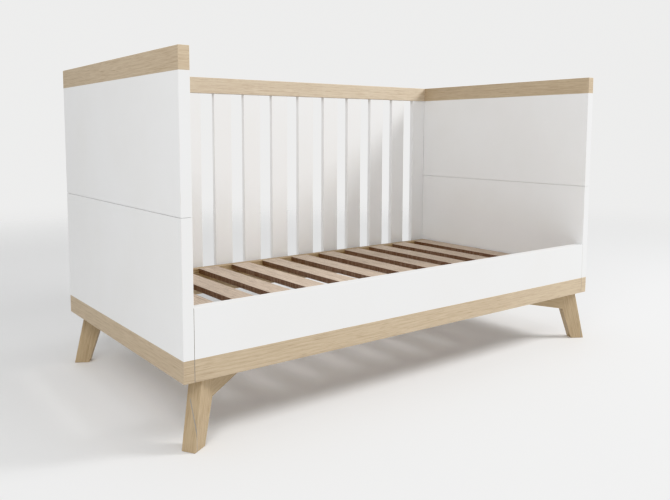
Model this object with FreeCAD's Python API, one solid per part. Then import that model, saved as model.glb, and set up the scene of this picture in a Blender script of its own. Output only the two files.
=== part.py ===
import FreeCAD, Part
import math
import os

# A child's convertible cot bed for a 700 x 1400 mm mattress, in millimetres.
# +X runs along the bed to the right end, +Y to the slatted back, +Z up.
# The origin is on the floor, in the middle of the bed.

# Driving dimensions of the frame
INNER_LENGTH = 1410.0
INNER_WIDTH = 706.0
END_THICKNESS = 26.0
SIDE_THICKNESS = 25.0
LEG_HEIGHT = 151.5
RAIL_HEIGHT = 50.0
END_PANEL_HEIGHT = 302.0
FRONT_PANEL_HEIGHT = 111.0
BACK_LOWER_RAIL_HEIGHT = 35.0

# Eased arrises of the outside corners and the hairline joints
CORNER_RADIUS = 1.5
JOINT_CHAMFER = 0.4

# Shadow gap between an end's two panels
SEAM_GAP = 1.6
SEAM_DEPTH = 2.5

# Upright slats of the back
BACK_SLAT_COUNT = 13
BACK_SLAT_WIDTH = 63.5
BACK_SLAT_THICKNESS = 16.0
BACK_SLAT_RECESS = 3.0
BACK_SLAT_END_GAP = 0.5
MORTISE_DEPTH = 12.0
MORTISE_CLEARANCE = 0.15

# Slatted mattress base
BASE_LENGTH = 1396.0
BASE_WIDTH = 690.0
BASE_TOP = 243.0
BASE_RAIL_WIDTH = 20.0
BASE_RAIL_HEIGHT = 46.0
BASE_SLAT_COUNT = 12
BASE_SLAT_WIDTH = 68.0
BASE_SLAT_THICKNESS = 16.5

# Splayed legs: each is a board in an upright plane turned in from the long side.
# Distances "along" are measured in that plane from the leg's outer top corner.
LEG_TURN = 31.0
LEG_CORNER_FROM_END = 47.0
LEG_CORNER_FROM_SIDE = 8.0
LEG_THICKNESS = 34.0
LEG_SPLAY = 34.0
LEG_FOOT_WIDTH = 41.5
LEG_TOP_WIDTH = 41.0
BRACE_JOINT_HEIGHT = 52.0
BRACE_LENGTH = 144.0
BRACE_END_HEIGHT = 31.0

# Steel brackets that carry the legs and the base
SHEET = 3.0
LEG_BRACKET_LENGTH = 225.0
LEG_BRACKET_WIDTH = 101.0
LEG_BRACKET_FLANGE = 40.0
LEG_BRACKET_SIDE_CUTBACK = 65.0
LEG_BRACKET_END_CUTBACK = 23.0
BASE_BRACKET_WIDTH = 40.0
BASE_BRACKET_REACH = 40.0
BASE_BRACKET_DROP = 32.0
BASE_BRACKET_Y = 200.0

# Fasteners
HOLE_CLEARANCE = 0.1
DOWEL_RADIUS = 4.0
DOWEL_LENGTH = 36.0
CAM_RADIUS = 7.4
CAM_DEPTH = 12.5
CAM_FROM_END = 34.0
CAM_CAVITY_RADIUS = 4.5
CAM_CAVITY_BEHIND_CENTRE = 2.0
CAM_SLOT = (10.0, 2.0, 2.0)
CAM_BOLT_THREAD = (3.0, 11.0)
CAM_BOLT_SHANK = (3.2, 24.0)
CAM_BOLT_NECK = (2.2, 6.5)
CAM_BOLT_HEAD = (3.4, 5.0)
SCREW_RADIUS = 2.0
SCREW_HEAD = (3.8, 2.2)
SLAT_SCREW_LENGTH = 45.0
BRACKET_SCREW_LENGTH = 18.0
LEG_BOLT_RADIUS = 4.0
LEG_BOLT_LENGTH = 30.0
LEG_BOLT_HEAD = (7.0, 4.5)
HEX_SOCKET = (2.9, 3.0)

# Places of the fasteners; negative X and Y are at the front left corner
END_DOWEL_Y = (-300.0, 0.0, 300.0)
SIDE_DOWEL_X = (-560.0, -190.0, 190.0, 560.0)
FRONT_DOWEL_HEIGHTS = (165.0, 225.0, 290.0)
BACK_DOWEL_HEIGHTS = (165.0, 212.0, 823.0)
BRACE_DOWEL_DROP = 26.0
BRACE_DOWEL_SHARES = (0.3, 0.7)
BOTTOM_CAM_HEIGHT = 184.0
FRONT_PANEL_CAM_HEIGHT = 257.0
TOP_RAIL_CAM_HEIGHT = 836.0
LEG_BOLT_ALONG = (14.0, 85.0, 150.0)
SIDE_FLANGE_SCREW_X = (-610.0, -510.0)
END_FLANGE_SCREW_Y = (-312.0, -270.0)
FLANGE_SCREW_SHARE = 0.6
BASE_BRACKET_SCREW_OFFSETS = (-10.0, 10.0)

# Modelling allowances: flatness when edges are sorted, and how far a pocket's cutter runs past its mouth
FLATNESS = 0.01
CUTTER_OVERRUN = 1.0

# Derived levels and planes
HALF_INNER_LENGTH = INNER_LENGTH / 2
HALF_LENGTH = HALF_INNER_LENGTH + END_THICKNESS
HALF_INNER_WIDTH = INNER_WIDTH / 2
HALF_WIDTH = HALF_INNER_WIDTH + SIDE_THICKNESS
LOWER_RAIL_TOP = LEG_HEIGHT + RAIL_HEIGHT
SEAM = LOWER_RAIL_TOP + END_PANEL_HEIGHT
CAP_BOTTOM = SEAM + END_PANEL_HEIGHT
TOP = CAP_BOTTOM + RAIL_HEIGHT
FRONT_PANEL_TOP = LOWER_RAIL_TOP + FRONT_PANEL_HEIGHT
BACK_LOWER_RAIL_TOP = LOWER_RAIL_TOP + BACK_LOWER_RAIL_HEIGHT
BASE_SLAT_BOTTOM = BASE_TOP - BASE_SLAT_THICKNESS
BASE_RAIL_BOTTOM = BASE_TOP - BASE_RAIL_HEIGHT
SIDE_CENTRE = HALF_INNER_WIDTH + SIDE_THICKNESS / 2
END_CENTRE = HALF_INNER_LENGTH + END_THICKNESS / 2

X_AXIS = FreeCAD.Vector(1, 0, 0)
Y_AXIS = FreeCAD.Vector(0, 1, 0)
Z_AXIS = FreeCAD.Vector(0, 0, 1)
SIDES = ((-1, "left"), (1, "right"))
CORNERS = tuple((x, y, end + "_" + side) for y, end in ((-1, "front"), (1, "back")) for x, side in SIDES)


def vector(x, y, z):
    return FreeCAD.Vector(x, y, z)


def box(x, y, z):
    """A box between two values on each axis, given in either order."""
    low = vector(min(x), min(y), min(z))
    return Part.makeBox(abs(x[1] - x[0]), abs(y[1] - y[0]), abs(z[1] - z[0]), low)


def lies_on(edge, planes):
    """True when every point of the edge is on one of the planes, each an axis and a value."""
    bounds = edge.BoundBox
    spans = {
        "x": (bounds.XMin, bounds.XMax),
        "y": (bounds.YMin, bounds.YMax),
        "z": (bounds.ZMin, bounds.ZMax),
    }
    return any(max(abs(end - value) for end in spans[axis]) < FLATNESS for axis, value in planes)


def inset(span, depth):
    """A span drawn in at both ends; it may be given in either order."""
    return (min(span) + depth, max(span) - depth)


def ease(solid, joints=()):
    """Round the free edges of a solid and chamfer the ones on its joint planes."""
    free = [edge for edge in solid.Edges if not lies_on(edge, joints)]
    solid = solid.makeFillet(CORNER_RADIUS, free)
    if joints:
        solid = solid.makeChamfer(JOINT_CHAMFER, [edge for edge in solid.Edges if lies_on(edge, joints)])
    return solid


def rod(start, axis, radius, length):
    return Part.makeCylinder(radius, length, start, axis)


def stacked_rods(start, axis, steps):
    """Coaxial cylinders one after another, each step a radius and a length, as one solid."""
    solid = None
    for radius, length in steps:
        piece = rod(start, axis, radius, length)
        solid = piece if solid is None else solid.fuse(piece)
        start = start + axis * length
    return solid.removeSplitter()


def dowel(centre, axis, clearance=0.0):
    length = DOWEL_LENGTH + 2 * clearance
    solid = rod(centre - axis * (length / 2), axis, DOWEL_RADIUS + clearance, length)
    return solid if clearance else solid.makeChamfer(JOINT_CHAMFER, solid.Edges[0:1] + solid.Edges[2:3])


def screw(seat, axis, length, clearance=0.0):
    """A countersunk wood screw whose head is level with its seat."""
    head_radius, head_depth = SCREW_HEAD
    head = Part.makeCone(head_radius + clearance, SCREW_RADIUS + clearance, head_depth, seat, axis)
    return head.fuse(rod(seat, axis, SCREW_RADIUS + clearance, length + clearance)).removeSplitter()


def hexagon_prism(axis, radius, depth):
    angles = [math.radians(60 * i) for i in range(7)]
    corners = [vector(radius * math.cos(angle), radius * math.sin(angle), 0) for angle in angles]
    return Part.Face(Part.makePolygon(corners)).extrude(axis * depth)


def bolt(seat, axis, clearance=0.0):
    """A button-head bolt with a hexagon socket; its head stands proud of its seat."""
    shank = rod(seat, axis, LEG_BOLT_RADIUS + clearance, LEG_BOLT_LENGTH + clearance)
    head_radius, head_height = LEG_BOLT_HEAD
    head = rod(seat - axis * head_height, axis, head_radius + clearance, head_height)
    if clearance:
        return shank.fuse(head)
    crown = [edge for edge in head.Edges if lies_on(edge, [("z", head.BoundBox.ZMax)])]
    head = head.makeFillet(CORNER_RADIUS, crown)
    socket = hexagon_prism(axis, *HEX_SOCKET)
    socket.translate(seat - axis * head_height)
    return shank.fuse(head).cut(socket).removeSplitter()


def cam(mouth, depth_axis, bolt_axis, clearance=0.0):
    """A cam disc sunk along depth_axis, or with a clearance the recess for it."""
    solid = rod(mouth, depth_axis, CAM_RADIUS + clearance, CAM_DEPTH + clearance)
    if clearance:
        return solid
    centre = mouth + depth_axis * (SIDE_THICKNESS / 2)
    cavity_start = centre - bolt_axis * CAM_CAVITY_BEHIND_CENTRE
    solid = solid.cut(rod(cavity_start, bolt_axis, CAM_CAVITY_RADIUS, 2 * CAM_RADIUS))
    length, width, depth = CAM_SLOT
    for long_side, short_side in ((length, width), (width, length)):
        arm = Part.makeBox(long_side, depth, short_side, vector(-long_side / 2, 0, -short_side / 2))
        arm.rotate(vector(0, 0, 0), Z_AXIS, 0 if depth_axis.y > 0 else 180)
        arm.translate(mouth)
        solid = solid.cut(arm)
    return solid


def cam_bolt(face, axis, clearance=0.0):
    """A cam bolt: axis points from the end board's face to the cam."""
    steps = (CAM_BOLT_THREAD, CAM_BOLT_SHANK, CAM_BOLT_NECK, CAM_BOLT_HEAD)
    start = face - axis * CAM_BOLT_THREAD[1]
    if clearance:
        length = sum(step[1] for step in steps)
        return rod(start, axis, CAM_BOLT_HEAD[0] + clearance, length + clearance)
    return stacked_rods(start, axis, steps)


def mirrored(shape, x_sign, y_sign):
    """A shape drawn at the front left corner, moved to another corner."""
    if x_sign > 0:
        shape = shape.mirror(vector(0, 0, 0), X_AXIS)
    if y_sign > 0:
        shape = shape.mirror(vector(0, 0, 0), Y_AXIS)
    return shape


def back_slat_centres():
    reach = HALF_INNER_LENGTH - BACK_SLAT_END_GAP - BACK_SLAT_WIDTH / 2
    return [-reach + 2 * reach * i / (BACK_SLAT_COUNT - 1) for i in range(BACK_SLAT_COUNT)]


def base_slat_centres():
    reach = (BASE_LENGTH - BASE_SLAT_WIDTH) / 2
    return [-reach + 2 * reach * i / (BASE_SLAT_COUNT - 1) for i in range(BASE_SLAT_COUNT)]


def leg_plane(shape):
    """Move a shape drawn along X from the leg's outer top corner into the front left leg's plane."""
    shape = shape.copy()
    shape.rotate(vector(0, 0, 0), Z_AXIS, LEG_TURN)
    shape.translate(vector(LEG_CORNER_FROM_END - HALF_LENGTH, LEG_CORNER_FROM_SIDE - HALF_WIDTH, 0))
    return shape


def leg_board(outline):
    """A board of the leg's thickness with its outline given as (along, height) points."""
    points = [vector(along, 0, height) for along, height in outline]
    face = Part.Face(Part.makePolygon(points + points[:1]))
    return face.extrude(Y_AXIS * LEG_THICKNESS)


def dowel_places():
    """Centre and axis of every dowel between two boards."""
    places = []
    for x_sign, _ in SIDES:
        for level in (LOWER_RAIL_TOP, SEAM, CAP_BOTTOM):
            for y in END_DOWEL_Y:
                places.append((vector(x_sign * END_CENTRE, y, level), Z_AXIS))
        face = x_sign * HALF_INNER_LENGTH
        for height in FRONT_DOWEL_HEIGHTS:
            places.append((vector(face, -SIDE_CENTRE, height), X_AXIS))
        for height in BACK_DOWEL_HEIGHTS:
            places.append((vector(face, SIDE_CENTRE, height), X_AXIS))
    for x in SIDE_DOWEL_X:
        for y in (-SIDE_CENTRE, SIDE_CENTRE):
            places.append((vector(x, y, LOWER_RAIL_TOP), Z_AXIS))
    return places


def brace_dowel_places():
    """Centres, before the turn into the leg's plane, of the dowels between leg and brace."""
    height = LEG_HEIGHT - BRACE_DOWEL_DROP
    return [vector(LEG_TOP_WIDTH, LEG_THICKNESS * share, height) for share in BRACE_DOWEL_SHARES]


def brace_dowels(clearance=0.0):
    shapes = []
    for x_sign, y_sign, _ in CORNERS:
        for centre in brace_dowel_places():
            shapes.append(mirrored(leg_plane(dowel(centre, X_AXIS, clearance)), x_sign, y_sign))
    return shapes


def cam_places():
    """Height, side of the bed and depth direction of each cam, for both ends."""
    return [
        (BOTTOM_CAM_HEIGHT, -1, -1),
        (FRONT_PANEL_CAM_HEIGHT, -1, -1),
        (BOTTOM_CAM_HEIGHT, 1, 1),
        (TOP_RAIL_CAM_HEIGHT, 1, -1),
    ]


def cams(clearance=0.0):
    """Cams sit in the inner faces, but in the outer face of the back's top rail."""
    shapes = []
    for x_sign, _ in SIDES:
        for height, side, depth_sign in cam_places():
            outer = side * depth_sign < 0
            mouth_y = side * (HALF_WIDTH if outer else HALF_INNER_WIDTH)
            mouth = vector(x_sign * (HALF_INNER_LENGTH - CAM_FROM_END), mouth_y, height)
            shapes.append(cam(mouth, Y_AXIS * depth_sign, X_AXIS * x_sign, clearance))
    return shapes


def cam_bolts(clearance=0.0):
    shapes = []
    for x_sign, _ in SIDES:
        for height, side, _ in cam_places():
            face = vector(x_sign * HALF_INNER_LENGTH, side * SIDE_CENTRE, height)
            shapes.append(cam_bolt(face, X_AXIS * -x_sign, clearance))
    return shapes


def slat_screws(clearance=0.0):
    shapes = []
    for x in base_slat_centres():
        for side in (-1, 1):
            seat = vector(x, side * BASE_WIDTH / 2, BASE_TOP - BASE_SLAT_THICKNESS / 2)
            shapes.append(screw(seat, Y_AXIS * -side, SLAT_SCREW_LENGTH, clearance))
    return shapes


def bracket_screws(clearance=0.0):
    """Screws of the leg brackets' flanges and of the base brackets."""
    shapes = []
    inner_x = -HALF_INNER_LENGTH + SHEET
    inner_y = -HALF_INNER_WIDTH + SHEET
    flange_height = LEG_HEIGHT + FLANGE_SCREW_SHARE * LEG_BRACKET_FLANGE
    base_bracket_height = BASE_SLAT_BOTTOM - FLANGE_SCREW_SHARE * BASE_BRACKET_DROP
    places = []
    for x in SIDE_FLANGE_SCREW_X:
        places.append((vector(x, inner_y, flange_height), Y_AXIS * -1))
    for y in END_FLANGE_SCREW_Y:
        places.append((vector(inner_x, y, flange_height), X_AXIS * -1))
    for offset in BASE_BRACKET_SCREW_OFFSETS:
        y = offset - BASE_BRACKET_Y
        places.append((vector(inner_x, y, base_bracket_height), X_AXIS * -1))
    for x_sign, y_sign, _ in CORNERS:
        for seat, axis in places:
            shapes.append(mirrored(screw(seat, axis, BRACKET_SCREW_LENGTH, clearance), x_sign, y_sign))
    return shapes


def leg_bolts(clearance=0.0):
    """Bolts down through each leg bracket into the leg and its brace."""
    shapes = []
    for x_sign, y_sign, _ in CORNERS:
        for along in LEG_BOLT_ALONG:
            seat = vector(along, LEG_THICKNESS / 2, LEG_HEIGHT + SHEET)
            shapes.append(mirrored(leg_plane(bolt(seat, Z_AXIS * -1, clearance)), x_sign, y_sign))
    return shapes


def back_mortises():
    """Pockets for the upright slats in the top rail and the lower rail of the back."""
    shapes = []
    gap = MORTISE_CLEARANCE
    front = HALF_INNER_WIDTH + BACK_SLAT_RECESS - gap
    y = (front, front + BACK_SLAT_THICKNESS + 2 * gap)
    low = BACK_LOWER_RAIL_TOP - MORTISE_DEPTH - gap
    high = CAP_BOTTOM + MORTISE_DEPTH + gap
    for centre in back_slat_centres():
        x = (centre - BACK_SLAT_WIDTH / 2 - gap, centre + BACK_SLAT_WIDTH / 2 + gap)
        shapes.append(box(x, y, (low, BACK_LOWER_RAIL_TOP + CUTTER_OVERRUN)))
        shapes.append(box(x, y, (CAP_BOTTOM - CUTTER_OVERRUN, high)))
    return shapes


def all_holes():
    holes = [dowel(centre, axis, HOLE_CLEARANCE) for centre, axis in dowel_places()]
    for make in (brace_dowels, cams, cam_bolts, slat_screws, bracket_screws, leg_bolts):
        holes += make(HOLE_CLEARANCE)
    return holes


HOLES = all_holes()


def bored(solid, extra=()):
    """The solid with every hole that reaches it, and any extra pockets, cut out."""
    cutters = [hole for hole in HOLES + list(extra) if hole.BoundBox.intersect(solid.BoundBox)]
    return solid.cut(cutters) if cutters else solid


def export(shape, node):
    """Write a node's STEP file, and stop if its shape is empty or broken."""
    if shape.isNull() or not shape.Solids or not shape.isValid():
        raise ValueError(node + " has no valid solid")
    shape.exportStep("parts/" + node + ".step")


def make_ends():
    """Each end is a cap rail, two panels with a shadow gap between them, and a bottom rail."""
    y = (-HALF_WIDTH, HALF_WIDTH)
    gap_top = SEAM + SEAM_GAP
    for x_sign, side in SIDES:
        x = (x_sign * HALF_INNER_LENGTH, x_sign * HALF_LENGTH)
        cap = ease(box(x, y, (CAP_BOTTOM, TOP)), [("z", CAP_BOTTOM)])
        upper = ease(box(x, y, (gap_top, CAP_BOTTOM)), [("z", CAP_BOTTOM), ("z", gap_top)])
        tongue = box(inset(x, SEAM_DEPTH), inset(y, SEAM_DEPTH), (SEAM, gap_top))
        upper = upper.fuse(tongue).removeSplitter()
        lower = ease(box(x, y, (LOWER_RAIL_TOP, SEAM)), [("z", LOWER_RAIL_TOP), ("z", SEAM)])
        rail = ease(box(x, y, (LEG_HEIGHT, LOWER_RAIL_TOP)), [("z", LOWER_RAIL_TOP)])
        export(bored(cap), "end_cap_rail_" + side)
        export(bored(upper), "end_upper_panel_" + side)
        export(bored(lower), "end_lower_panel_" + side)
        export(bored(rail), "end_bottom_rail_" + side)


def make_front():
    """The low front is a panel on a bottom rail, between the ends."""
    x = (-HALF_INNER_LENGTH, HALF_INNER_LENGTH)
    y = (-HALF_WIDTH, -HALF_INNER_WIDTH)
    ends = [("x", x[0]), ("x", x[1])]
    panel = ease(box(x, y, (LOWER_RAIL_TOP, FRONT_PANEL_TOP)), ends + [("z", LOWER_RAIL_TOP)])
    rail = ease(box(x, y, (LEG_HEIGHT, LOWER_RAIL_TOP)), ends + [("z", LOWER_RAIL_TOP)])
    export(bored(panel), "front_low_panel")
    export(bored(rail), "front_bottom_rail")


def make_back():
    """The back is a top rail, upright slats, a lower rail and a bottom rail."""
    x = (-HALF_INNER_LENGTH, HALF_INNER_LENGTH)
    y = (HALF_INNER_WIDTH, HALF_WIDTH)
    ends = [("x", x[0]), ("x", x[1])]
    mortises = back_mortises()
    top_rail = ease(box(x, y, (CAP_BOTTOM, TOP)), ends)
    lower_rail = ease(box(x, y, (LOWER_RAIL_TOP, BACK_LOWER_RAIL_TOP)), ends + [("z", LOWER_RAIL_TOP)])
    bottom_rail = ease(box(x, y, (LEG_HEIGHT, LOWER_RAIL_TOP)), ends + [("z", LOWER_RAIL_TOP)])
    export(bored(top_rail, mortises), "back_top_rail")
    export(bored(lower_rail, mortises), "back_lower_rail")
    export(bored(bottom_rail), "back_bottom_rail")

    front = HALF_INNER_WIDTH + BACK_SLAT_RECESS
    z = (BACK_LOWER_RAIL_TOP - MORTISE_DEPTH, CAP_BOTTOM + MORTISE_DEPTH)
    for number, centre in enumerate(back_slat_centres(), start=1):
        slat_x = (centre - BACK_SLAT_WIDTH / 2, centre + BACK_SLAT_WIDTH / 2)
        slat = ease(box(slat_x, (front, front + BACK_SLAT_THICKNESS), z))
        export(slat, "back_slat_%02d" % number)


def make_base():
    """The mattress base is two long rails with flat slats between them, level on top."""
    half_width = BASE_WIDTH / 2
    inner = half_width - BASE_RAIL_WIDTH
    x = (-BASE_LENGTH / 2, BASE_LENGTH / 2)
    for sign, side in ((-1, "front"), (1, "back")):
        rail = ease(box(x, (sign * inner, sign * half_width), (BASE_RAIL_BOTTOM, BASE_TOP)))
        export(bored(rail), "base_rail_" + side)
    for number, centre in enumerate(base_slat_centres(), start=1):
        slat_x = (centre - BASE_SLAT_WIDTH / 2, centre + BASE_SLAT_WIDTH / 2)
        joints = [("y", -inner), ("y", inner)]
        slat = ease(box(slat_x, (-inner, inner), (BASE_SLAT_BOTTOM, BASE_TOP)), joints)
        export(bored(slat), "base_slat_%02d" % number)


def make_legs():
    """Each leg is a splayed, tapered board with a brace that runs in under the bed."""
    joint_bottom = LEG_HEIGHT - BRACE_JOINT_HEIGHT
    brace_end = LEG_TOP_WIDTH + BRACE_LENGTH
    leg_outline = [(-LEG_SPLAY, 0), (LEG_FOOT_WIDTH - LEG_SPLAY, 0), (LEG_TOP_WIDTH, joint_bottom),
                   (LEG_TOP_WIDTH, LEG_HEIGHT), (0, LEG_HEIGHT)]
    brace_outline = [(LEG_TOP_WIDTH, joint_bottom), (brace_end, LEG_HEIGHT - BRACE_END_HEIGHT),
                     (brace_end, LEG_HEIGHT), (LEG_TOP_WIDTH, LEG_HEIGHT)]
    joints = [("x", LEG_TOP_WIDTH), ("z", LEG_HEIGHT)]
    leg = leg_plane(ease(leg_board(leg_outline), joints))
    brace = leg_plane(ease(leg_board(brace_outline), joints))
    for x_sign, y_sign, corner in CORNERS:
        export(bored(mirrored(leg, x_sign, y_sign)), "leg_" + corner)
        export(bored(mirrored(brace, x_sign, y_sign)), "leg_brace_" + corner)


def make_leg_brackets():
    """A folded steel bracket in each corner ties the leg to the two bottom rails."""
    x = (-HALF_INNER_LENGTH, -HALF_INNER_LENGTH + LEG_BRACKET_LENGTH)
    y = (-HALF_INNER_WIDTH, -HALF_INNER_WIDTH + LEG_BRACKET_WIDTH)
    flange_top = LEG_HEIGHT + LEG_BRACKET_FLANGE
    plate = box(x, y, (LEG_HEIGHT, LEG_HEIGHT + SHEET))
    z = (LEG_HEIGHT, flange_top)
    side_flange = box((x[0] + LEG_BRACKET_SIDE_CUTBACK, x[1]), (y[0], y[0] + SHEET), z)
    end_flange = box((x[0], x[0] + SHEET), (y[0] + LEG_BRACKET_END_CUTBACK, y[1]), z)
    bracket = plate.fuse([side_flange, end_flange]).removeSplitter()
    for x_sign, y_sign, corner in CORNERS:
        export(bored(mirrored(bracket, x_sign, y_sign)), "leg_bracket_" + corner)


def make_base_brackets():
    """Four angle brackets on the ends carry the end slats of the mattress base."""
    x = (-HALF_INNER_LENGTH, -HALF_INNER_LENGTH + BASE_BRACKET_REACH)
    y = (-BASE_BRACKET_Y - BASE_BRACKET_WIDTH / 2, -BASE_BRACKET_Y + BASE_BRACKET_WIDTH / 2)
    shelf = box(x, y, (BASE_SLAT_BOTTOM - SHEET, BASE_SLAT_BOTTOM))
    upright = box((x[0], x[0] + SHEET), y, (BASE_SLAT_BOTTOM - BASE_BRACKET_DROP, BASE_SLAT_BOTTOM))
    bracket = shelf.fuse(upright).removeSplitter()
    pieces = [bored(mirrored(bracket, x_sign, y_sign)) for x_sign, y_sign, _ in CORNERS]
    export(Part.makeCompound(pieces), "base_support_brackets")


def make_fasteners():
    """Identical fasteners share one node as separate solids."""
    dowels = [dowel(centre, axis) for centre, axis in dowel_places()] + brace_dowels()
    export(Part.makeCompound(dowels), "wood_dowels")
    export(Part.makeCompound(cams()), "cam_discs")
    export(Part.makeCompound(cam_bolts()), "cam_bolts")
    export(Part.makeCompound(slat_screws()), "base_slat_screws")
    export(Part.makeCompound(bracket_screws()), "bracket_screws")
    export(Part.makeCompound(leg_bolts()), "leg_bolts")


os.makedirs("parts", exist_ok=True)
make_ends()
make_front()
make_back()
make_base()
make_legs()
make_leg_brackets()
make_base_brackets()
make_fasteners()
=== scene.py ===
import math

import bpy
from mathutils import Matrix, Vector

# The looks of a child's convertible cot bed: oak, white lacquer, brown slats and steel on the CAD nodes,
# then the floor, the lights and the camera. Lengths are in metres and angles in degrees, in the CAD frame.

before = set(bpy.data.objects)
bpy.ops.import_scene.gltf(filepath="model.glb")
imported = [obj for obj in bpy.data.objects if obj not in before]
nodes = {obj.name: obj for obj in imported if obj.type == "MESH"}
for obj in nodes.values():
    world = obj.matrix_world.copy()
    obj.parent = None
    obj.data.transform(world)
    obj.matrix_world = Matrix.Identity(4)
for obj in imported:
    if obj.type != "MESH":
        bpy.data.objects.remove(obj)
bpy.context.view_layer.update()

X_AXIS = Vector((1, 0, 0))
Y_AXIS = Vector((0, 1, 0))
Z_AXIS = Vector((0, 0, 1))

# Colours, as linear reflectance
OAK_LIGHT = (0.600, 0.492, 0.352, 1)
OAK_DARK = (0.375, 0.272, 0.170, 1)
# Paler oak for the back top rail: painted light, for the bright light that falls on that rail
OAK_LIT_RAIL_LIGHT = (0.672, 0.576, 0.445, 1)
OAK_LIT_RAIL_DARK = (0.420, 0.318, 0.213, 1)
# Deeper oak for the legs: partly a solid wood of its own tone, partly painted shade for the shade on the legs
# under the bed
OAK_LEG_SHADED_LIGHT = (0.560, 0.442, 0.290, 1)
OAK_LEG_SHADED_DARK = (0.320, 0.220, 0.125, 1)
SLAT_LIGHT = (0.742, 0.611, 0.490, 1)
SLAT_DARK = (0.202, 0.123, 0.073, 1)
# Darker colour for the slats' sides: partly a sawn finish, partly painted shade for the shade between the
# slats
SLAT_SAWN_AND_SHADE = (0.130, 0.066, 0.042, 1)
BASE_RAIL_LIGHT = (0.608, 0.464, 0.294, 1)
BASE_RAIL_DARK = (0.166, 0.093, 0.044, 1)
BEECH_LIGHT = (0.760, 0.600, 0.420, 1)
BEECH_DARK = (0.600, 0.430, 0.280, 1)
LACQUER = (0.860, 0.862, 0.862, 1)
LACQUER_AGED = (0.835, 0.832, 0.822, 1)
LACQUER_EDGE = (0.800, 0.790, 0.765, 1)
ZINC = (0.600, 0.605, 0.615, 1)
STEEL = (0.560, 0.560, 0.555, 1)
POWDER_COAT = (0.640, 0.640, 0.630, 1)
JOINT_SHADE = (0.340, 0.315, 0.280, 1)
FLOOR = (0.900, 0.903, 0.904, 1)

# Wood grain: cells per metre along, across and through the board, then how much each part shows
FIGURE_CELLS = (1.3, 12, 12)
BREAK_CELLS = (9, 110, 110)
FIBRE_CELLS = (14, 480, 480)
DASH_CELLS = (24, 460, 460)
TONE_CELLS = (1.0, 6, 6)
PORE_CELLS = (42, 1700, 1700)
SAW_MARK_CELLS = (150, 20, 20)
RINGS_PER_METRE = 750.0
RING_SLANT = 0.4
FIGURE_WARP = 40.0
RING_SHARE = 0.45
DASH_SHARE = 0.32
FIBRE_SHARE = (-0.35, 0.75)
TONE_SHARE = (-0.25, 0.25)
PORE_SHARE = 0.35
WORN_SHARE = 0.5
# How far the slats' sides go towards that darker colour, sawn finish and painted shade together
SAWN_AND_SHADE_SHARE = (0.77, 0.90)
# Boards of one material are cut from different parts of the grain
GRAIN_SHIFT = (3.7, 1.9, 2.3)

# A leg's plane, turned from the bed's length, and how far leg and brace lean in it from upright
LEG_TURN = 31.0
LEG_LEAN = 12.6
BRACE_LEAN = 81.0

# The upright joints between the low front and the ends: middle, half width, top and back
JOINT_X = 0.7053
JOINT_REACH = 0.0007
JOINT_TOP = 0.3125
JOINT_BACK = -0.3532

# Floor, camera and lights
FLOOR_RADIUS = 7.0
FLOOR_FADE = (0.22, 0.75)
CAMERA_PLACE = (-1.353, -1.682, 0.680)
CAMERA_HEADING = 36.31
CAMERA_PITCH = -5.60
CAMERA_LENS = 37.50
CAMERA_SHIFT = (0.0326, -0.0736)
KEY_PLACE = (2.83, -1.85, 2.645)
KEY_SIZE = 1.3
KEY_POWER = 94.0
FILL_PLACE = (-2.085, -1.62, 2.48)
FILL_SIZE = 1.5
FILL_POWER = 32.0
AMBIENT = 0.64
BACKDROP = (0.97, 0.97, 0.965, 1)
LIGHT_TARGET = Vector((0, 0, 0.35))


# Node helpers

def add(tree, kind, inputs=None, **settings):
    """Add a node. Inputs maps sockets to values or to other nodes' outputs."""
    made = tree.nodes.new(kind)
    for name, value in settings.items():
        setattr(made, name, value)
    for key, value in (inputs or {}).items():
        if isinstance(value, bpy.types.NodeSocket):
            tree.links.new(value, made.inputs[key])
        else:
            made.inputs[key].default_value = value
    return made


def maths(tree, operation, first, second=0.0, clamp=False):
    return add(tree, "ShaderNodeMath", {0: first, 1: second}, operation=operation, use_clamp=clamp).outputs[0]


def vector_maths(tree, operation, first, second=(0, 0, 0), output="Vector"):
    return add(tree, "ShaderNodeVectorMath", {0: first, 1: second}, operation=operation).outputs[output]


def noise(tree, coordinates, stretch, detail=2.0, roughness=0.5):
    """Noise from 0 to 1 with the given number of cells per metre along each axis."""
    scaled = vector_maths(tree, "MULTIPLY", coordinates, stretch)
    inputs = {"Vector": scaled, "Scale": 1.0, "Detail": detail, "Roughness": roughness}
    return add(tree, "ShaderNodeTexNoise", inputs).outputs["Fac"]


def step(tree, value, low, high):
    """0 below low, 1 above high and smooth between them."""
    inputs = {"Value": value, "From Min": low, "From Max": high}
    return add(tree, "ShaderNodeMapRange", inputs, interpolation_type="SMOOTHSTEP").outputs["Result"]


def spread(tree, value, low, high):
    """Take a value that runs from 0 to 1 to the range from low to high."""
    return add(tree, "ShaderNodeMapRange", {"Value": value, "To Min": low, "To Max": high}).outputs["Result"]


def mix(tree, factor, first, second):
    """Mix two colours. The colour sockets have to be named by number."""
    inputs = {"Factor": factor, 6: first, 7: second}
    return add(tree, "ShaderNodeMix", inputs, data_type="RGBA").outputs[2]


def split(tree, vector):
    return add(tree, "ShaderNodeSeparateXYZ", {0: vector}).outputs


def join(tree, first, second, third):
    return add(tree, "ShaderNodeCombineXYZ", {0: first, 1: second, 2: third}).outputs[0]


def new_material(name):
    """A material with an empty tree and its Principled shader."""
    material = bpy.data.materials.new(name)
    material.use_nodes = True
    tree = material.node_tree
    tree.nodes.clear()
    shader = add(tree, "ShaderNodeBsdfPrincipled")
    add(tree, "ShaderNodeOutputMaterial", {"Surface": shader.outputs["BSDF"]})
    return material, tree, shader


def bump(tree, shader, height, distance, strength):
    made = add(tree, "ShaderNodeBump", {"Height": height, "Distance": distance, "Strength": strength})
    tree.links.new(made.outputs["Normal"], shader.inputs["Normal"])


def link(tree, output, shader, name):
    tree.links.new(output, shader.inputs[name])


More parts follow.
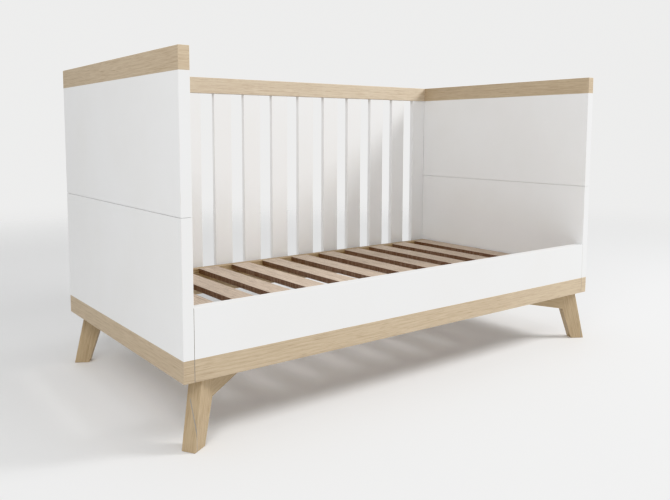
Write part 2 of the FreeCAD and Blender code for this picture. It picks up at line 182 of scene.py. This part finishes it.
def eased_edge(tree, facing):
    """1 on rounded and chamfered edges, where the surface faces along none of the three axes."""
    flattest = maths(tree, "MAXIMUM", facing[2], maths(tree, "MAXIMUM", facing[0], facing[1]))
    return step(tree, maths(tree, "SUBTRACT", 1.0, flattest), 0.01, 0.08)


def joint_line(tree, colour):
    """Darken the fine open joints between the low front and the ends, where little light reaches."""
    place = split(tree, add(tree, "ShaderNodeTexCoord").outputs["Object"])
    offset = maths(tree, "SUBTRACT", maths(tree, "ABSOLUTE", place[0]), JOINT_X)
    inside = maths(tree, "LESS_THAN", maths(tree, "ABSOLUTE", offset), JOINT_REACH)
    inside = maths(tree, "MULTIPLY", inside, maths(tree, "LESS_THAN", place[1], JOINT_BACK))
    inside = maths(tree, "MULTIPLY", inside, maths(tree, "LESS_THAN", place[2], JOINT_TOP))
    return mix(tree, inside, colour, JOINT_SHADE)


# Wood

def board_space(tree, source, axes):
    """A vector's parts along the board's grain, its height and its thickness."""
    return join(tree, *[vector_maths(tree, "DOT_PRODUCT", source, axis, "Value") for axis in axes])


def grain_sockets(tree):
    """Declare what the grain group takes and gives."""
    sockets = (("Place", "INPUT", "Vector"), ("Light", "INPUT", "Color"), ("Dark", "INPUT", "Color"),
               ("Edge", "INPUT", "Float"), ("Color", "OUTPUT", "Color"), ("Roughness", "OUTPUT", "Float"),
               ("Height", "OUTPUT", "Float"))
    for name, direction, kind in sockets:
        tree.interface.new_socket(name, in_out=direction, socket_type="NodeSocket" + kind)


def growth_rings(tree, place, broken):
    """Growth rings from 0 to 1, bent by the figure of the wood and broken up along the board."""
    figure = noise(tree, place, FIGURE_CELLS)
    apart = split(tree, place)
    across = maths(tree, "ADD", apart[1], maths(tree, "MULTIPLY", apart[2], RING_SLANT))
    phase = maths(tree, "ADD", maths(tree, "MULTIPLY", across, RINGS_PER_METRE),
                  maths(tree, "MULTIPLY", figure, FIGURE_WARP))
    ring = maths(tree, "POWER", spread(tree, maths(tree, "SINE", phase), 0.25, 0.75), 2.0)
    return maths(tree, "MULTIPLY", ring, step(tree, broken, 0.25, 0.7))


def grain_group():
    """Oak-like grain on coordinates in metres, with X along the board."""
    tree = bpy.data.node_groups.new("wood_grain", "ShaderNodeTree")
    grain_sockets(tree)
    given = add(tree, "NodeGroupInput").outputs
    place = given["Place"]
    broken = noise(tree, place, BREAK_CELLS)
    ring = growth_rings(tree, place, broken)
    fibre = noise(tree, place, FIBRE_CELLS, detail=3.0, roughness=0.65)
    dashes = step(tree, noise(tree, place, DASH_CELLS), 0.54, 0.68)
    tone = noise(tree, place, TONE_CELLS, detail=1.0)
    pores = step(tree, noise(tree, place, PORE_CELLS, detail=1.0), 0.60, 0.70)

    darkness = maths(tree, "MULTIPLY", ring, RING_SHARE)
    darkness = maths(tree, "ADD", darkness, maths(tree, "MULTIPLY", dashes, DASH_SHARE))
    darkness = maths(tree, "ADD", darkness, spread(tree, fibre, *FIBRE_SHARE))
    darkness = maths(tree, "ADD", darkness, spread(tree, tone, *TONE_SHARE), clamp=True)
    colour = mix(tree, darkness, given["Light"], given["Dark"])
    colour = mix(tree, maths(tree, "MULTIPLY", pores, PORE_SHARE), colour, given["Dark"])
    worn = maths(tree, "MULTIPLY", given["Edge"], step(tree, broken, 0.35, 0.6))
    colour = mix(tree, maths(tree, "MULTIPLY", worn, WORN_SHARE), colour, given["Light"])

    roughness = maths(tree, "ADD", spread(tree, fibre, 0.42, 0.62), maths(tree, "MULTIPLY", worn, -0.12))
    height = maths(tree, "SUBTRACT", maths(tree, "MULTIPLY", fibre, 0.6), maths(tree, "MULTIPLY", pores, 0.5))
    add(tree, "NodeGroupOutput", {"Color": colour, "Roughness": roughness, "Height": height})
    return tree


GRAIN = grain_group()


def turned_at_ends(tree, place, facing):
    """Swap length and thickness on a board's ends, where the edging's grain runs across."""
    apart = split(tree, place)
    turned = join(tree, apart[2], apart[1], apart[0])
    at_end = maths(tree, "GREATER_THAN", facing[0], 0.7)
    return add(tree, "ShaderNodeMix", {"Factor": at_end, 4: place, 5: turned}, data_type="VECTOR").outputs[1]


def sawn_and_shaded_sides(tree, place, facing, colour, sawn_shade):
    """Darken the sides that face along the board's second axis, unevenly with saw marks: partly a sawn
    finish, partly painted shade for the shade between the boards.
    """
    marks = step(tree, noise(tree, place, SAW_MARK_CELLS), 0.35, 0.65)
    shaded = mix(tree, spread(tree, marks, *SAWN_AND_SHADE_SHARE), colour, sawn_shade)
    return mix(tree, step(tree, facing[1], 0.6, 0.8), colour, shaded)


def wood(name, axes, light, dark, seed, banded=False, sawn_shade=None):
    """A wood whose grain follows the first of three axes.

    Banded boards have edgings on their ends, and sawn_shade is the darker colour of the sawn sides, partly a
    sawn finish and partly painted shade.
    """
    material, tree, shader = new_material(name)
    source = add(tree, "ShaderNodeTexCoord").outputs
    place = board_space(tree, source["Object"], axes)
    facing = split(tree, vector_maths(tree, "ABSOLUTE", board_space(tree, source["Normal"], axes)))
    if banded:
        place = turned_at_ends(tree, place, facing)
    place = vector_maths(tree, "ADD", place, [part * seed for part in GRAIN_SHIFT])
    inputs = {"Place": place, "Light": light, "Dark": dark, "Edge": eased_edge(tree, facing)}
    grain = add(tree, "ShaderNodeGroup", inputs, node_tree=GRAIN).outputs
    colour = grain["Color"]
    if sawn_shade:
        colour = sawn_and_shaded_sides(tree, place, facing, colour, sawn_shade)
    link(tree, joint_line(tree, colour), shader, "Base Color")
    link(tree, grain["Roughness"], shader, "Roughness")
    bump(tree, shader, grain["Height"], 0.0004, 0.5)
    return material


# The other materials

def lacquer():
    """White satin lacquer: faint mottling, orange peel, and edges where the film is thin."""
    material, tree, shader = new_material("white_lacquer_satin")
    source = add(tree, "ShaderNodeTexCoord").outputs
    place = source["Object"]
    mottling = step(tree, noise(tree, place, (3, 3, 3), detail=4.0, roughness=0.6), 0.3, 0.8)
    edge = eased_edge(tree, split(tree, vector_maths(tree, "ABSOLUTE", source["Normal"])))
    patches = step(tree, noise(tree, place, (22, 22, 22), detail=3.0), 0.45, 0.65)
    worn = maths(tree, "MULTIPLY", edge, patches)
    colour = mix(tree, mottling, LACQUER, LACQUER_AGED)
    colour = mix(tree, worn, colour, LACQUER_EDGE)
    link(tree, joint_line(tree, colour), shader, "Base Color")
    peel = noise(tree, place, (260, 260, 260), detail=1.0)
    roughness = maths(tree, "ADD", spread(tree, mottling, 0.34, 0.42), maths(tree, "MULTIPLY", worn, 0.15))
    link(tree, roughness, shader, "Roughness")
    bump(tree, shader, peel, 0.0002, 0.35)
    shader.inputs["Specular IOR Level"].default_value = 0.4
    return material


def plated_steel(name, colour, low, high):
    """Plated steel with cloudy plating and fine scratches."""
    material, tree, shader = new_material(name)
    place = add(tree, "ShaderNodeTexCoord").outputs["Object"]
    clouds = noise(tree, place, (140, 140, 140), detail=3.0)
    scratches = noise(tree, place, (90, 1400, 1400))
    shade = tuple(part * 0.72 for part in colour[:3]) + (1,)
    link(tree, mix(tree, clouds, colour, shade), shader, "Base Color")
    link(tree, spread(tree, clouds, low, high), shader, "Roughness")
    bump(tree, shader, scratches, 0.0001, 0.4)
    shader.inputs["Metallic"].default_value = 1.0
    return material


def powder_coat():
    """Pale grey powder coat with its fine pebbled texture."""
    material, tree, shader = new_material("bracket_powder_coat")
    place = add(tree, "ShaderNodeTexCoord").outputs["Object"]
    clouds = noise(tree, place, (30, 30, 30), detail=3.0)
    pebbles = noise(tree, place, (900, 900, 900), detail=1.0)
    shade = tuple(part * 0.88 for part in POWDER_COAT[:3]) + (1,)
    link(tree, mix(tree, clouds, POWDER_COAT, shade), shader, "Base Color")
    link(tree, spread(tree, pebbles, 0.42, 0.60), shader, "Roughness")
    bump(tree, shader, pebbles, 0.0002, 0.5)
    return material


def finish(name, material):
    """Give a CAD node its material."""
    slots = nodes[name].data.materials
    slots.clear()
    slots.append(material)


# The bed's nodes

SIDES = ("left", "right")
CORNERS = ("front_left", "front_right", "back_left", "back_right")
WHITE_BOARDS = ("end_upper_panel", "end_lower_panel", "front_low_panel", "back_slat", "back_lower_rail")


def finish_white_boards():
    white = lacquer()
    for name in nodes:
        if name.startswith(WHITE_BOARDS):
            finish(name, white)


def finish_oak_rails():
    across = (Y_AXIS, Z_AXIS, X_AXIS)
    lengthwise = (X_AXIS, Z_AXIS, Y_AXIS)
    for seed, side in enumerate(SIDES, start=1):
        finish("end_cap_rail_" + side,
               wood("oak_cap_" + side, across, OAK_LIGHT, OAK_DARK, seed, banded=True))
        finish("end_bottom_rail_" + side,
               wood("oak_bottom_" + side, across, OAK_LIGHT, OAK_DARK, seed + 2, banded=True))
    # The back top rail's paler oak is painted light, for the bright light on it
    finish("back_top_rail", wood("oak_back_top_rail", lengthwise, OAK_LIT_RAIL_LIGHT, OAK_LIT_RAIL_DARK, 5))
    for seed, name in enumerate(("back_bottom_rail", "front_bottom_rail"), start=6):
        finish(name, wood("oak_" + name, lengthwise, OAK_LIGHT, OAK_DARK, seed))


def leg_axes(corner, lean):
    """Grain, height and thickness directions of a board in a leg's plane."""
    x_sign = 1 if corner.endswith("right") else -1
    y_sign = 1 if corner.startswith("back") else -1
    turn = math.radians(LEG_TURN)
    inward = Vector((-x_sign * math.cos(turn), -y_sign * math.sin(turn), 0))
    tilt = math.radians(lean)
    grain = inward * math.sin(tilt) + Z_AXIS * math.cos(tilt)
    across = inward * math.cos(tilt) - Z_AXIS * math.sin(tilt)
    return grain, across, grain.cross(across)


def finish_legs():
    # Legs and braces take the deeper oak, partly painted shade for the shade under the bed
    for seed, corner in enumerate(CORNERS, start=11):
        leg = wood("oak_leg_" + corner, leg_axes(corner, LEG_LEAN), OAK_LEG_SHADED_LIGHT, OAK_LEG_SHADED_DARK, seed)
        brace_axes = leg_axes(corner, BRACE_LEAN)
        brace = wood("oak_brace_" + corner, brace_axes, OAK_LEG_SHADED_LIGHT, OAK_LEG_SHADED_DARK, seed + 4)
        finish("leg_" + corner, leg)
        finish("leg_brace_" + corner, brace)


def finish_base():
    slat_axes = (Y_AXIS, X_AXIS, Z_AXIS)
    rail_axes = (X_AXIS, Z_AXIS, Y_AXIS)
    # The slats' sides are darkened: a sawn finish with painted shade for the shade between the slats
    names = sorted(name for name in nodes if name.startswith("base_slat_") and name[-1].isdigit())
    for seed, name in enumerate(names, start=21):
        finish(name, wood("timber_" + name, slat_axes, SLAT_LIGHT, SLAT_DARK, seed, sawn_shade=SLAT_SAWN_AND_SHADE))
    for seed, name in enumerate(("base_rail_front", "base_rail_back"), start=41):
        finish(name, wood("timber_" + name, rail_axes, BASE_RAIL_LIGHT, BASE_RAIL_DARK, seed))


def finish_fasteners():
    screws = plated_steel("screw_steel", STEEL, 0.24, 0.42)
    zinc = plated_steel("zinc_dull", ZINC, 0.38, 0.58)
    coat = powder_coat()
    finish("wood_dowels", wood("beech_dowels", (Z_AXIS, X_AXIS, Y_AXIS), BEECH_LIGHT, BEECH_DARK, 51))
    for name in ("cam_discs", "cam_bolts"):
        finish(name, zinc)
    for name in ("base_slat_screws", "bracket_screws", "leg_bolts"):
        finish(name, screws)
    for name in ["leg_bracket_" + corner for corner in CORNERS] + ["base_support_brackets"]:
        finish(name, coat)


# Floor, lights and camera

def floor_material():
    """Pale matt floor that fades into the backdrop towards its rim."""
    material, tree, shader = new_material("floor_pale")
    place = add(tree, "ShaderNodeTexCoord").outputs["Object"]
    clouds = noise(tree, place, (1.5, 1.5, 1.5), detail=3.0)
    shade = tuple(part * 0.97 for part in FLOOR[:3]) + (1,)
    link(tree, mix(tree, clouds, FLOOR, shade), shader, "Base Color")
    link(tree, spread(tree, clouds, 0.50, 0.62), shader, "Roughness")
    shader.inputs["Specular IOR Level"].default_value = 0.25
    distance = vector_maths(tree, "LENGTH", place, output="Value")
    away = step(tree, distance, FLOOR_FADE[0] * FLOOR_RADIUS, FLOOR_FADE[1] * FLOOR_RADIUS)
    clear = add(tree, "ShaderNodeBsdfTransparent")
    both = add(tree, "ShaderNodeMixShader", {0: away, 1: shader.outputs[0], 2: clear.outputs[0]})
    output = next(node for node in tree.nodes if node.type == "OUTPUT_MATERIAL")
    tree.links.new(both.outputs[0], output.inputs["Surface"])
    return material


def make_floor():
    bpy.ops.mesh.primitive_circle_add(vertices=96, radius=FLOOR_RADIUS, fill_type="NGON")
    floor = bpy.context.object
    floor.name = "floor"
    floor.data.materials.append(floor_material())


def make_light(name, place, size, power):
    light = bpy.data.lights.new(name, "AREA")
    light.shape = "DISK"
    light.size = size
    light.energy = power
    holder = bpy.data.objects.new(name, light)
    bpy.context.scene.collection.objects.link(holder)
    holder.location = place
    holder.rotation_mode = "QUATERNION"
    holder.rotation_quaternion = (LIGHT_TARGET - Vector(place)).to_track_quat("-Z", "Y")


def make_world():
    """An even soft sky for the light, with a paler backdrop behind the bed."""
    world = bpy.data.worlds.new("studio")
    bpy.context.scene.world = world
    world.use_nodes = True
    tree = world.node_tree
    tree.nodes.clear()
    sky = add(tree, "ShaderNodeBackground", {"Color": (1, 1, 1, 1), "Strength": AMBIENT})
    backdrop = add(tree, "ShaderNodeBackground", {"Color": BACKDROP, "Strength": 1.0})
    seen = add(tree, "ShaderNodeLightPath").outputs["Is Camera Ray"]
    both = add(tree, "ShaderNodeMixShader", {0: seen, 1: sky.outputs[0], 2: backdrop.outputs[0]})
    add(tree, "ShaderNodeOutputWorld", {"Surface": both.outputs[0]})


def make_camera():
    camera = bpy.data.cameras.new("camera")
    camera.sensor_width = 36.0
    camera.lens = CAMERA_LENS
    camera.shift_x, camera.shift_y = CAMERA_SHIFT
    camera.clip_start = 0.05
    holder = bpy.data.objects.new("camera", camera)
    bpy.context.scene.collection.objects.link(holder)
    holder.location = CAMERA_PLACE
    holder.rotation_euler = (math.radians(90 + CAMERA_PITCH), 0, math.radians(-CAMERA_HEADING))
    bpy.context.scene.camera = holder


finish_white_boards()
finish_oak_rails()
finish_legs()
finish_base()
finish_fasteners()
make_floor()
make_light("key_light", KEY_PLACE, KEY_SIZE, KEY_POWER)
make_light("fill_light", FILL_PLACE, FILL_SIZE, FILL_POWER)
make_world()
make_camera()
bpy.context.scene.view_settings.view_transform = "Khronos PBR Neutral"
